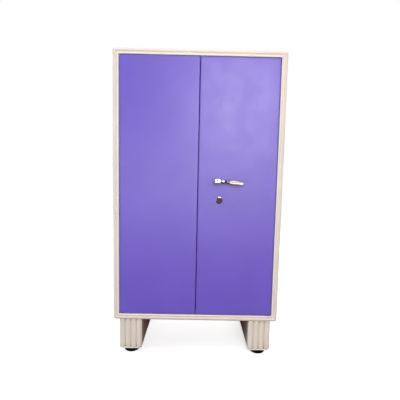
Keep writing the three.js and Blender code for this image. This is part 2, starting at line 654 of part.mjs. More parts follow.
function addHandle() {
  const place = groupAt(HANDLE_X, DOOR_FACE_Y, HANDLE_Z);
  add("handle_lever", leverGeometry(), "chrome", place).rotation.y = HANDLE_DROOP;
  const { radius, flangeRadius, flangeTop, tail } = HANDLE_BUSH;
  const bore = SPINDLE_RADIUS + GAP;
  const bush = turned([
    [bore, -tail], [radius, -tail], [radius, GAP], [flangeRadius, GAP], [flangeRadius, flangeTop],
    [bore, flangeTop], [bore, -tail],
  ], 24).rotateX(Math.PI / 2);
  add("handle_bush", bush, "brass", place);
  const spindleEnd = CAM_V - DOOR_V + CAM_THICKNESS + SPINDLE_TAIL;
  add("spindle", cylinderY(SPINDLE_RADIUS, 0, -SPINDLE_FRONT, spindleEnd, 0), "zinc", place);
  add("cam_plate", camGeometry(), "zinc", place);
  add("rod_upper", rodGeometry(1), "zinc", place);
  add("rod_lower", rodGeometry(-1), "zinc", place);
  for (const [name, up, edge] of [["upper", 1, DOOR_TOP_Z], ["lower", -1, DOOR_BOTTOM_Z]]) {
    const strap = groupAt(HANDLE_X - up * ROD_OFFSET_X, DOOR_FACE_Y, edge - up * DOOR_LIP / 2);
    add(`rod_guide_${name}`, guideGeometry(), "zinc", strap);
  }
}

// ---------------------------------------------------------------- lock
// In the lock's group, Y 0 is the door's face and the key plug turns about Y.
function addLock() {
  const place = groupAt(LOCK_X, DOOR_FACE_Y, LOCK_Z);
  const bore = LOCK_PLUG_RADIUS + GAP;
  const caseFront = SHEET + GAP;
  const caseBack = caseFront + LOCK_CASE_THICKNESS;
  const boltX = HANDLE_X - LOCK_X;
  const boltHalf = LOCK_BOLT_WIDTH / 2;
  const lugs = [-1, 1].map((sign) => {
    const inner = boltX + sign * (boltHalf + GAP);
    const outer = inner + sign * LOCK_LUG.thickness;
    const [x0, x1] = [Math.min(inner, outer), Math.max(inner, outer)];
    return box(x0, x1, caseBack - 1, caseBack + LOCK_LUG.proud, LOCK_LUG.bottom, LOCK_LUG.top);
  });
  const { halfWidth, bottom, top } = LOCK_CASE;
  add("lock_case", cut(
    join(box(-halfWidth, halfWidth, caseFront, caseBack, bottom, top), ...lugs),
    cylinderY(bore, 0, caseFront - 1, caseBack + 1, 0),
  ), "zinc", place);

  const bezel = turned([
    [bore, GAP], [LOCK_BEZEL_RADIUS, GAP], [LOCK_BEZEL_RADIUS, 1.8], [LOCK_BEZEL_RADIUS - 1.5, 3.6],
    [LOCK_BEZEL_RADIUS - 4, 4.2], [LOCK_PLUG_RADIUS + 2.5, 3.4], [bore, 3.4], [bore, GAP],
  ], 32).rotateX(Math.PI / 2);
  add("lock_bezel", bezel, "chrome", place);

  // Key plug with its keyway, and an off-centre drive pin on its tail.
  const crank = LOCK_CRANK_RADIUS * Math.SQRT1_2;
  const boltFront = LOCK_BOLT_V - DOOR_V;
  const boltBack = boltFront + LOCK_BOLT_THICKNESS;
  const plug = join(
    cylinderY(LOCK_PLUG_RADIUS, 0, -KEYWAY.depth, caseBack + 0.4, 0),
    cylinderY(LOCK_PIN_RADIUS, -crank, caseBack - 0.6, boltBack + 0.4, -crank, 12),
  );
  const keyway = box(
    -KEYWAY.halfWidth, KEYWAY.halfWidth, -KEYWAY.depth - 1, KEYWAY.depth,
    -KEYWAY.halfHeight, KEYWAY.halfHeight,
  );
  add("lock_plug", cut(plug, keyway), "chrome", place);

  // Bolt plate: lifted by the drive pin until its tip is in the cam's notch.
  const tip = HANDLE_Z - CAM_RADIUS - 1 - LOCK_Z;
  const foot = LOCK_BOLT_FOOT;
  const plate = join(
    box(boltX - boltHalf, boltX + boltHalf, boltFront, boltBack, foot.bottom, tip),
    box(boltX - boltHalf, foot.end, boltFront, boltBack, foot.bottom, foot.top),
  );
  const pinRoom = LOCK_PIN_RADIUS + LOCK_BOLT_SLACK;
  const slot = box(
    -LOCK_CRANK_RADIUS - pinRoom, -crank + pinRoom,
    boltFront - 1, boltBack + 1, -crank - pinRoom, -crank + pinRoom,
  );
  add("lock_bolt", cut(plate, slot), "zinc", place);
}

// ---------------------------------------------------------------- tower bolts of the left door
// In each bolt's group, Z 0 is the door's top edge, Y 0 its face, and +Z points out of the door.
function addTowerBolts() {
  const x = STIFFENER_X.left;
  const plateFront = DOOR_THICKNESS + GAP;
  const plateBack = plateFront + SHEET;
  const axisY = TOWER_BOLT_V - DOOR_V;
  const plateTop = -TOWER_PLATE_FROM_EDGE;
  const plateBottom = plateTop - TOWER_PLATE_HEIGHT;
  const rodEnd = -BOLT_TIP_CLEARANCE - TOWER_BOLT_LENGTH;
  for (const [name, up, edge] of [["upper", 1, DOOR_TOP_Z], ["lower", -1, DOOR_BOTTOM_Z]]) {
    const place = groupAt(x, DOOR_FACE_Y, edge);
    const collarTops = [plateTop - TOWER_COLLAR.fromTop, plateBottom + TOWER_COLLAR.fromBottom];
    const collarBack = axisY + TOWER_BOLT_RADIUS + TOWER_COLLAR.wall;
    const { halfWidth, height } = TOWER_COLLAR;
    const collars = collarTops.map((z) => (
      box(-halfWidth, halfWidth, plateBack - 0.5, collarBack, z - height, z)
    ));
    const halfPlate = TOWER_PLATE_HALF_WIDTH;
    const barrel = cut(
      join(box(-halfPlate, halfPlate, plateFront, plateBack, plateBottom, plateTop), ...collars),
      cylinderZ(TOWER_BOLT_RADIUS + GAP, 0, axisY, plateBottom - 1, plateTop + 1, 16),
    );
    const knob = TOWER_KNOB;
    const rod = join(
      cylinderZ(TOWER_BOLT_RADIUS, 0, axisY, rodEnd, -BOLT_TIP_CLEARANCE, 16),
      cylinderY(knob.stemRadius, 0, axisY, axisY + knob.stem, rodEnd + knob.up, 12),
      cylinderY(knob.radius, 0, axisY + knob.from, axisY + knob.to, rodEnd + knob.up, 16),
    );
    // The lower bolt is the upper one turned over about Y.
    place.rotation.y = up > 0 ? 0 : Math.PI;
    add(`tower_bolt_barrel_${name}`, barrel, "zinc", place);
    add(`tower_bolt_${name}`, rod, "zinc", place);
  }
}

addPanels();
addFrame();
addRunners();
addShelves();
addDoors();
addHandle();
addLock();
addTowerBolts();

export default root;
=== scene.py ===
# Looks for a two-door sheet-steel storage cupboard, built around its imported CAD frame.
# Metres, +Z up, the doors face -Y. Sections and small features are in millimetres and scaled by MM.

import json
import math

import bmesh
import bpy
from mathutils import Matrix, Vector


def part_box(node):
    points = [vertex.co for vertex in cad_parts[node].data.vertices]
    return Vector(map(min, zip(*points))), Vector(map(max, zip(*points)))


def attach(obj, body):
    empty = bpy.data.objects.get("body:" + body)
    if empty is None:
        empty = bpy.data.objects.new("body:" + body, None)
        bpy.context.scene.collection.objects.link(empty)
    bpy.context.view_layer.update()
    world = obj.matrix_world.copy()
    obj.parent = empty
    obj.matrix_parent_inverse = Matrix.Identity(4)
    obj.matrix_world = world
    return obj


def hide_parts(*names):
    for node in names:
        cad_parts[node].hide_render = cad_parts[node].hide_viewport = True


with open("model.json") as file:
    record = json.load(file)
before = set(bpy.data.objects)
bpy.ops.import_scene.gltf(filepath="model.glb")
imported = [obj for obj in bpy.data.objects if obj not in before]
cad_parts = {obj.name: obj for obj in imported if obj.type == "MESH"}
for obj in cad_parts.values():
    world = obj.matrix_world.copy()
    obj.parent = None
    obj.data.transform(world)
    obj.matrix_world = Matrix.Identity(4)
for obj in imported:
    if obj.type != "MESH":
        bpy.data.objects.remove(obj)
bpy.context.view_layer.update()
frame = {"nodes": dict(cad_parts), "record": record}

MM = 0.001

# ---------------------------------------------------------------- places from the CAD frame
PANEL_LOW, PANEL_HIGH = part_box("back_panel")
FRONT_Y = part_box("frame_stile_left")[0].y
HALF_WIDTH = PANEL_HIGH.x
CARCASS_BOTTOM = PANEL_LOW.z
CARCASS_TOP = PANEL_HIGH.z
CARCASS_MIDDLE = (CARCASS_BOTTOM + CARCASS_TOP) / 2
HALF_HEIGHT = (CARCASS_TOP - CARCASS_BOTTOM) / 2


def middle(node):
    low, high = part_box(node)
    return (low + high) / 2


SPINDLE = middle("spindle")
LOCK = middle("lock_bezel")
DOOR_FACE_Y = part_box("door_left")[0].y


# ---------------------------------------------------------------- material helpers
class Tree:
    """A material's node tree, with the Principled shader and the object's own coordinates."""

    def __init__(self, name):
        self.material = bpy.data.materials.new(name)
        self.material.use_nodes = True
        self.nodes = self.material.node_tree.nodes
        self.links = self.material.node_tree.links
        self.shader = self.nodes["Principled BSDF"]
        self.place = self.nodes.new("ShaderNodeTexCoord").outputs["Object"]

    def link(self, source, target):
        self.links.new(source, target)

    def noise(self, scale, detail=4.0, roughness=0.55, stretch=(1, 1, 1)):
        mapping = self.nodes.new("ShaderNodeMapping")
        mapping.inputs["Scale"].default_value = stretch
        self.link(self.place, mapping.inputs["Vector"])
        texture = self.nodes.new("ShaderNodeTexNoise")
        texture.inputs["Scale"].default_value = scale
        texture.inputs["Detail"].default_value = detail
        texture.inputs["Roughness"].default_value = roughness
        self.link(mapping.outputs["Vector"], texture.inputs["Vector"])
        return texture.outputs["Fac"]

    def span(self, value, low, high, out_low=0.0, out_high=1.0):
        node = self.nodes.new("ShaderNodeMapRange")
        node.interpolation_type = "SMOOTHSTEP"
        node.inputs["From Min"].default_value = low
        node.inputs["From Max"].default_value = high
        node.inputs["To Min"].default_value = out_low
        node.inputs["To Max"].default_value = out_high
        self.link(value, node.inputs["Value"])
        return node.outputs["Result"]

    def math(self, operation, a, b):
        node = self.nodes.new("ShaderNodeMath")
        node.operation = operation
        for socket, value in zip(node.inputs, (a, b)):
            if isinstance(value, (int, float)):
                socket.default_value = value
            else:
                self.link(value, socket)
        return node.outputs["Value"]

    def mix(self, factor, first, second):
        node = self.nodes.new("ShaderNodeMix")
        node.data_type = "RGBA"
        self.link(factor, node.inputs["Factor"])
        for socket, value in ((node.inputs[6], first), (node.inputs[7], second)):
            if isinstance(value, tuple):
                socket.default_value = (*value, 1.0)
            else:
                self.link(value, socket)
        return node.outputs[2]

    def attribute(self, name):
        node = self.nodes.new("ShaderNodeAttribute")
        node.attribute_name = name
        return node.outputs["Fac"]

    def bump(self, height, strength, distance, before=None):
        node = self.nodes.new("ShaderNodeBump")
        node.inputs["Strength"].default_value = strength
        node.inputs["Distance"].default_value = distance
        self.link(height, node.inputs["Height"])
        if before is not None:
            self.link(before, node.inputs["Normal"])
        return node.outputs["Normal"]

    def set(self, **values):
        for name, value in values.items():
            self.shader.inputs[name.replace("_", " ")].default_value = value

    def colour(self, source):
        self.link(source, self.shader.inputs["Base Color"])

    def roughness(self, source):
        self.link(source, self.shader.inputs["Roughness"])

    def normal(self, source):
        self.link(source, self.shader.inputs["Normal"])


def tone(colour, factor):
    return tuple(min(1.0, c * factor) for c in colour)


CREAM = (0.780, 0.682, 0.586)
CREAM_DIRT = (0.500, 0.405, 0.320)
LAVENDER = (0.160, 0.100, 0.545)
LAVENDER_DIRT = (0.100, 0.068, 0.290)
# Lighter cream for rubbed paint, also a painted highlight on the bead and hem.
RUBBED_AND_HIGHLIGHT = (0.860, 0.815, 0.745)
# Primer brown, which also stands in for shade under the cupboard.
PRIMER_SHADE_BROWN = (0.490, 0.290, 0.240)
# Near-black for painted shade.
PAINTED_SHADE_DARK = (0.070, 0.055, 0.062)


def powder_coat(name, colour, dirt, rough, coat, grime=0.25):
    """Powder coat: fine orange peel, slow mottling, grime where "wear" is, a lighter tone on the bead and
    hem that is partly rubbed paint and partly painted highlight, a brown primer tone on the runners' inner
    walls that also stands in for shade, and near-black painted shade in the grooves and under the
    cupboard."""
    t = Tree(name)
    mottle = t.span(t.noise(5.0, 3.0), 0.3, 0.7)
    base = t.mix(mottle, tone(colour, 0.965), tone(colour, 1.03))
    specks = t.span(t.noise(420.0, 2.0), 0.66, 0.74)
    base = t.mix(t.math("MULTIPLY", specks, 0.10), base, dirt)
    patches = t.span(t.noise(24.0, 5.0, 0.65), 0.5, 0.72)
    gathered = t.math("MULTIPLY", t.attribute("wear"), patches)
    base = t.mix(t.math("MULTIPLY", gathered, grime), base, dirt)
    # Lighter tone on the bead and the hem: partly rubbed paint, partly a painted highlight.
    base = t.mix(t.attribute("rub_and_highlight"), base, RUBBED_AND_HIGHLIGHT)
    # Brown primer tone on the runners' inner walls, fading in from the front; it also stands in for the
    # shade under the cupboard.
    ragged = t.math("MULTIPLY", t.math("SUBTRACT", t.noise(38.0, 6.0, 0.7), 0.5), 0.5)
    primer_shade_mask = t.span(t.math("ADD", t.attribute("primer_shade"), ragged), 0.1, 0.9)
    base = t.mix(primer_shade_mask, base, PRIMER_SHADE_BROWN)
    # Painted shade: near-black in the runners' grooves and on their inner walls under the cupboard.
    base = t.mix(t.math("MULTIPLY", t.attribute("painted_shade"), 0.85), base, PAINTED_SHADE_DARK)
    t.colour(base)
    t.roughness(t.span(t.noise(11.0, 4.0), 0.3, 0.7, *rough))
    slow = t.bump(t.noise(2.2, 1.0), 0.35, 0.004)
    t.normal(t.bump(t.noise(750.0, 2.0), 0.12, 0.0004, slow))
    t.set(IOR=1.5, Coat_Weight=coat, Coat_Roughness=0.3)
    return t.material


def cream_paint():
    return powder_coat("cream_paint", CREAM, CREAM_DIRT, (0.46, 0.58), 0.0)


def lavender_paint():
    return powder_coat("lavender_paint", LAVENDER, LAVENDER_DIRT, (0.34, 0.44), 0.3)


def plated(name, colour, rough, scratch_scale=60.0, bump=0.05):
    """Metal plate with fine brushed scratches that vary its gloss."""
    t = Tree(name)
    scratches = t.noise(scratch_scale, 6.0, 0.7, (1.0, 12.0, 12.0))
    t.colour(t.mix(t.span(scratches, 0.3, 0.7), tone(colour, 0.9), tone(colour, 1.05)))
    t.roughness(t.span(scratches, 0.3, 0.75, rough[0], rough[1]))
    t.normal(t.bump(scratches, bump, 0.0003))
    t.set(Metallic=1.0)
    return t.material


def chrome_plate():
    return plated("chrome", (0.56, 0.525, 0.485), (0.16, 0.26), 120.0, 0.03)


def satin_nickel():
    return plated("satin_nickel", (0.44, 0.40, 0.35), (0.32, 0.42), 140.0, 0.05)


def zinc_plate():
    return plated("zinc", (0.58, 0.59, 0.60), (0.28, 0.42), 80.0, 0.08)


def turned_brass():
    return plated("brass", (0.60, 0.42, 0.18), (0.22, 0.38), 90.0, 0.06)


def bronzed(name, rough):
    """The lock's bronzed plating: dark brown metal, cloudy and handled."""
    t = Tree(name)
    cloud = t.span(t.noise(160.0, 5.0, 0.6), 0.3, 0.7)
    t.colour(t.mix(cloud, (0.062, 0.036, 0.030), (0.092, 0.052, 0.043)))
    t.roughness(t.span(t.noise(300.0, 4.0), 0.3, 0.7, *rough))
    t.normal(t.bump(t.noise(900.0, 2.0), 0.08, 0.0002))
    t.set(Metallic=0.55)
    return t.material


def black_oxide_and_shade():
    """Blackened steel of the set screw, slightly worn; the same black on the neck between the lever's
    rings is painted shade in the recess there.
    """
    t = Tree("black_oxide_and_shade")
    worn = t.span(t.noise(700.0, 4.0), 0.55, 0.75)
    t.colour(t.mix(worn, (0.012, 0.010, 0.014), (0.060, 0.052, 0.060)))
    t.roughness(t.span(worn, 0.0, 1.0, 0.35, 0.55))
    return t.material


def black_rubber():
    """Moulded black rubber with a dusty bloom."""
    t = Tree("rubber")
    dust = t.span(t.noise(90.0, 6.0, 0.7), 0.45, 0.75)
    t.colour(t.mix(t.math("MULTIPLY", dust, 0.2), (0.0035, 0.0028, 0.0024), (0.016, 0.013, 0.011)))
    t.roughness(t.span(dust, 0.0, 1.0, 0.6, 0.9))
    t.normal(t.bump(t.noise(1400.0, 3.0), 0.15, 0.0003))
    t.set(IOR=1.2)
    return t.material


PAINT = {
    "cream_paint": cream_paint(),
    "lavender_paint": lavender_paint(),
    "chrome": chrome_plate(),
    "zinc": zinc_plate(),
    "brass": turned_brass(),
    "rubber": black_rubber(),
}
LOCK_FACE = bronzed("lock_face", (0.50, 0.65))
LOCK_RIM = plated("lock_rim", (0.50, 0.44, 0.40), (0.12, 0.22), 200.0, 0.03)
SATIN_NICKEL = satin_nickel()
BLACK_OXIDE_AND_SHADE = black_oxide_and_shade()


# ---------------------------------------------------------------- mesh helpers
def arc(ca, cb, radius, start, end, steps):
    """Points on a circular arc, angles in degrees."""
    angles = [math.radians(start + (end - start) * i / steps) for i in range(steps + 1)]
    return [(ca + radius * math.cos(a), cb + radius * math.sin(a)) for a in angles]


def folded(path, thickness):
    """Closed outline of a folded sheet: the path is one face and the sheet lies on its left."""
    normals = []
    for (a0, b0), (a1, b1) in zip(path, path[1:]):
        step = Vector((a1 - a0, b1 - b0)).normalized()
        normals.append(Vector((-step.y, step.x)))
    other = []
    for i, (a, b) in enumerate(path):
        before, after = normals[max(i - 1, 0)], normals[min(i, len(normals) - 1)]
        mitre = (before + after) * (thickness / (1 + before.dot(after)))
        other.append((a + mitre.x, b + mitre.y))
    return path + other[::-1]


def piece(name, bm, slot, body, *nodes, smooth_angle=32.0, materials=None):
    """Turns a bmesh into a named piece with its finish, its body and the CAD nodes it stands for."""
    bmesh.ops.remove_doubles(bm, verts=bm.verts, dist=1e-6)
    bmesh.ops.dissolve_degenerate(bm, edges=bm.edges, dist=1e-7)
    bmesh.ops.recalc_face_normals(bm, faces=bm.faces)
    mesh = bpy.data.meshes.new(name)
    bm.to_mesh(mesh)
    bm.free()
    for polygon in mesh.polygons:
        polygon.use_smooth = True
    mesh.set_sharp_from_angle(angle=math.radians(smooth_angle))
    for material in materials or [PAINT[slot]]:
        mesh.materials.append(material)
    obj = bpy.data.objects.new(name, mesh)
    bpy.context.scene.collection.objects.link(obj)
    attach(obj, body)
    if nodes:
        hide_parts(*nodes)
    return obj


def new_mesh():
    """An empty bmesh that already carries the paint's layers, which have to be there before any vertex."""
    bm = bmesh.new()
    for name in ("wear", "rub_and_highlight", "primer_shade", "painted_shade"):
        bm.verts.layers.float.new(name)
    return bm


def grid(bm, rows, closed_rows=False, closed_columns=False):
    """Quads between rows of points; each row is a list of Vectors. Returns the rows of vertices."""
    made = [[bm.verts.new(p) for p in row] for row in rows]
    row_pairs = list(zip(made, made[1:])) + ([(made[-1], made[0])] if closed_rows else [])
    for first, second in row_pairs:
        count = len(first)
        for i in range(count if closed_columns else count - 1):
            j = (i + 1) % count
            bm.faces.new((first[i], first[j], second[j], second[i]))
    return made


def lathe(bm, profile, centre, axis="Z", sides=64):
    """A closed turned solid; the profile's points are (radius, along) in millimetres."""
    rows = []
    for k in range(sides):
        a = 2 * math.pi * k / sides
        c, s = math.cos(a), math.sin(a)
        row = []
        for radius, along in profile:
            p, q, h = radius * c * MM, radius * s * MM, along * MM
            row.append(Vector({"Z": (p, q, h), "Y": (p, h, q), "X": (h, p, q)}[axis]) + centre)
        rows.append(row)
    return grid(bm, rows, closed_rows=True)


def rounded_box(bm, low, high, radius, segments=4):
    """A box with all its edges rounded. Returns its vertices."""
    size = high - low
    made = bmesh.ops.create_cube(bm, size=1.0)["verts"]
    for v in made:
        v.co = (low + high) / 2 + Vector((v.co.x * size.x, v.co.y * size.y, v.co.z * size.z))
    edges = list({e for v in made for e in v.link_edges})
    made = bmesh.ops.bevel(
        bm, geom=edges, offset=radius, segments=segments, profile=0.5, affect="EDGES"
    )["verts"]
    return made


def punch(obj, *cutters):
    """Cuts holes in a piece; each cutter is the low and high corner of a box, in metres."""
    tools = []
    for low, high in cutters:
        bm = bmesh.new()
        rounded_box(bm, Vector(low), Vector(high), 1.2 * MM, 3)
        mesh = bpy.data.meshes.new("cutter")
        bm.to_mesh(mesh)
        bm.free()
        tool = bpy.data.objects.new("cutter", mesh)
        bpy.context.scene.collection.objects.link(tool)
        boolean = obj.modifiers.new("punch", "BOOLEAN")
        boolean.operation = "DIFFERENCE"
        boolean.solver = "EXACT"
        boolean.object = tool
        tools.append(tool)
    whole = obj.data
    obj.data = bpy.data.meshes.new_from_object(obj.evaluated_get(bpy.context.evaluated_depsgraph_get()))
    obj.modifiers.clear()
    obj.data.name = whole.name
    for tool in tools:
        mesh = tool.data
        bpy.data.objects.remove(tool)
        bpy.data.meshes.remove(mesh)


# ---------------------------------------------------------------- front frame
# In millimetres: u runs inwards from the outer edge of the frame, v back from its front.
FACE = 30.0
RETURN_V = 24.0
STOP_V = 31.0
STOP_U = 43.0
SHEET = 1.2
CORNER_RADIUS = 11.0
CORNER_STEPS = 8
OUTER_ROUND = (12.5, 9.0)
MITRE_GAP = 0.12
GROOVE_U = 17.5
BEAD_U = 26.5
ROD_HOLE_HALF_WIDTH = 7.5
BOLT_HOLE_HALF_WIDTH = 4.2
BOLT_HOLE_DEPTH = 7.4
HOLE_REACH = 4.0


def frame_profile():
    """(u, v) in millimetres: wide outer round, shallow groove, bead, jamb and door stop."""
    path = [(0.0, RETURN_V), (0.0, 14.0)]
    for step in range(13):
        a = math.radians(180 + 87 * step / 12)
        path.append((OUTER_ROUND[0] * (1 + math.cos(a)), OUTER_ROUND[1] * (1 + math.sin(a))))
    path += arc(12.9, 1.1, 1.0, 270, 335, 4)
    path += [(14.7, 2.1), (15.6, 2.5), (19.6, 2.5), (20.8, 1.9)]
    path += arc(25.4, 4.6, 4.6, 215, 360, 14)
    path += [(FACE, 12.0), (FACE, STOP_V - 1.5)]
    path += arc(FACE + 1.5, STOP_V - 1.5, 1.5, 180, 90, 3)
    path += [(STOP_U, STOP_V)]
    return folded(path, SHEET)


def frame_member(name, node, half_long, half_across, quarter_turns):
    """One mitred side of the frame, its outer corners rounded, turned to its place."""
    profile = frame_profile()
    bm = new_mesh()
    radius = CORNER_RADIUS
    long_mm = half_long / MM

    def station(end, angle):
        row = []
        for u, v in profile:
            if u < radius:
                inner = radius - u
                x = radius - inner * math.cos(angle)
                s = long_mm - radius + inner * math.sin(angle)
            else:
                x = u
                s = long_mm - u
            row.append((x, v, end * (s - MITRE_GAP)))
        return row

    def straight(s):
        row = []
        for u, v in profile:
            reach = long_mm - max(u, radius)
            row.append((u, v, max(-reach, min(reach, s))))
        return row

    bends = [math.radians(45 * k / CORNER_STEPS) for k in range(CORNER_STEPS + 1)]
    rows = [station(-1, a) for a in reversed(bends)]
    rows += [straight(long_mm * t) for t in (-0.9, -0.6, -0.3, 0.0, 0.3, 0.6, 0.9)]
    rows += [station(1, a) for a in bends]
    turn = Matrix.Rotation(quarter_turns * math.pi / 2, 4, "Y")
    origin = Vector((0, FRONT_Y, CARCASS_MIDDLE))
    placed = []
    for row in rows:
        points = [Vector((x * MM - half_across, v * MM, s * MM)) for x, v, s in row]
        placed.append([turn @ p + origin for p in points])
    made = grid(bm, placed, closed_columns=True)
    bm.faces.new(made[0])
    bm.faces.new(list(reversed(made[-1])))
    wear = bm.verts.layers.float["wear"]
    rub_and_highlight = bm.verts.layers.float["rub_and_highlight"]
    for row in made:
        for vert, (u, v) in zip(row, profile):
            groove = math.exp(-(((u - GROOVE_U) / 3.6) ** 2)) if v < 6 else 0.0
            edge = math.exp(-((u / 5.0) ** 2)) if v < 12 else 0.0
            vert[wear] = min(1.0, 0.9 * groove + 0.7 * edge)
            # The bead gets a lighter tone, partly rubbed paint and partly a painted highlight.
            if v < 8.0:
                vert[rub_and_highlight] = math.exp(-(((u - BEAD_U) / 2.6) ** 2))
    return piece(name, bm, "cream_paint", "cabinet", node)


def rail_holes(rail, end, web_z):
    """Holes through a rail's web, where the lock rod and the tower bolt shoot into it."""
    bottom, top = web_z - HOLE_REACH * MM, web_z + HOLE_REACH * MM
    rod_low, rod_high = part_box(f"rod_{end}")
    rod_x = (rod_low.x + rod_high.x) / 2
    rod_half = ROD_HOLE_HALF_WIDTH * MM
    rod_hole = ((rod_x - rod_half, rod_low.y - MM, bottom), (rod_x + rod_half, rod_high.y + MM, top))
    bolt_low, bolt_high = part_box(f"tower_bolt_{end}")
    bolt_x = (bolt_low.x + bolt_high.x) / 2
    bolt_half = BOLT_HOLE_HALF_WIDTH * MM
    bolt_back = bolt_low.y + BOLT_HOLE_DEPTH * MM
    bolt_hole = ((bolt_x - bolt_half, bolt_low.y - MM, bottom), (bolt_x + bolt_half, bolt_back, top))
    punch(rail, rod_hole, bolt_hole)


def build_frame():
    frame_member("stile_left_section", "frame_stile_left", HALF_HEIGHT, HALF_WIDTH, 0)
    top = frame_member("rail_top_section", "frame_rail_top", HALF_WIDTH, HALF_HEIGHT, 1)
    frame_member("stile_right_section", "frame_stile_right", HALF_HEIGHT, HALF_WIDTH, 2)
    bottom = frame_member("rail_bottom_section", "frame_rail_bottom", HALF_WIDTH, HALF_HEIGHT, 3)
    rail_holes(top, "upper", CARCASS_TOP - FACE * MM)
    rail_holes(bottom, "lower", CARCASS_BOTTOM + FACE * MM)


# ---------------------------------------------------------------- doors
DOOR_EDGE_RADIUS = 3.2
DOOR_BEND = 1.5
DOOR_LIP = 16.0
DOOR_SKIN_RIM = 40.0
DOOR_CORNER = 2.0
DOOR_CORNER_STEPS = 3
DOOR_INNER_BEND = 1.9


def door(name, node, body):
    """A folded pan: flat skin, rounded edges, sides and an inward lip, swept round the outline."""
    low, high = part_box(node)
    centre = (low + high) / 2
    half_x, half_z = (high.x - low.x) / 2 / MM, (high.z - low.z) / 2 / MM
    depth = (high.y - low.y) / MM
    edge = DOOR_EDGE_RADIUS
    outer = [(DOOR_SKIN_RIM, 0.0), (12.0, 0.0)]
    outer += arc(edge, edge, edge, 270, 180, 7)
    outer += arc(DOOR_BEND, depth - DOOR_BEND, DOOR_BEND, 180, 90, 3)
    outer += [(DOOR_LIP, depth)]
    inner = [(DOOR_LIP, depth - SHEET), (DOOR_INNER_BEND, depth - SHEET), (SHEET, depth - DOOR_INNER_BEND)]
    inner += [(SHEET, edge), (edge, SHEET), (DOOR_SKIN_RIM, SHEET)]
    profile = outer + inner
    corner = DOOR_CORNER
    rows = []
    for sx, sz, start in ((1, 1, 0), (-1, 1, 90), (-1, -1, 180), (1, -1, 270)):
        for k in range(DOOR_CORNER_STEPS + 1):
            angle = math.radians(start + 90 * k / DOOR_CORNER_STEPS)
            row = []
            for w, v in profile:
                if w < corner:
                    x = sx * (half_x - corner) + (corner - w) * math.cos(angle)
                    z = sz * (half_z - corner) + (corner - w) * math.sin(angle)
                else:
                    x, z = sx * (half_x - w), sz * (half_z - w)
                row.append(Vector((centre.x + x * MM, low.y + v * MM, centre.z + z * MM)))
            rows.append(row)
    bm = new_mesh()
    made = grid(bm, rows, closed_rows=True)
    wear = bm.verts.layers.float["wear"]
    for row in made:
        for vert, (w, v) in zip(row, profile):
            vert[wear] = 0.8 if w < 6 and v < 6 else 0.0
    bmesh.ops.remove_doubles(bm, verts=bm.verts, dist=1e-6)
    for y in (low.y, low.y + SHEET * MM):
        ring = [e for e in bm.edges if e.is_boundary and all(abs(v.co.y - y) < 1e-6 for v in e.verts)]
        bmesh.ops.contextual_create(bm, geom=ring)
    return piece(name, bm, "lavender_paint", body, node)


def build_doors():
    door("door_left_pan", "door_left", "left_door")
    door("door_right_pan", "door_right", "right_door")


# ---------------------------------------------------------------- runners with fluted fronts
RIBS = 4
RIB_DEPTH = 5.5
RIB_STEPS = 14
RIB_FULLNESS = 0.62
WALL_STATIONS = (20, 45, 75, 110, 150)
BOTTOM_BEND = 12.0
BOTTOM_BEND_STEPS = 8
FRONT_BEND_SHARE = 0.35
NOTCH_DEPTH = 8.0
HEM_HEIGHT = 6.0
RUNNER_SHEET = 1.5


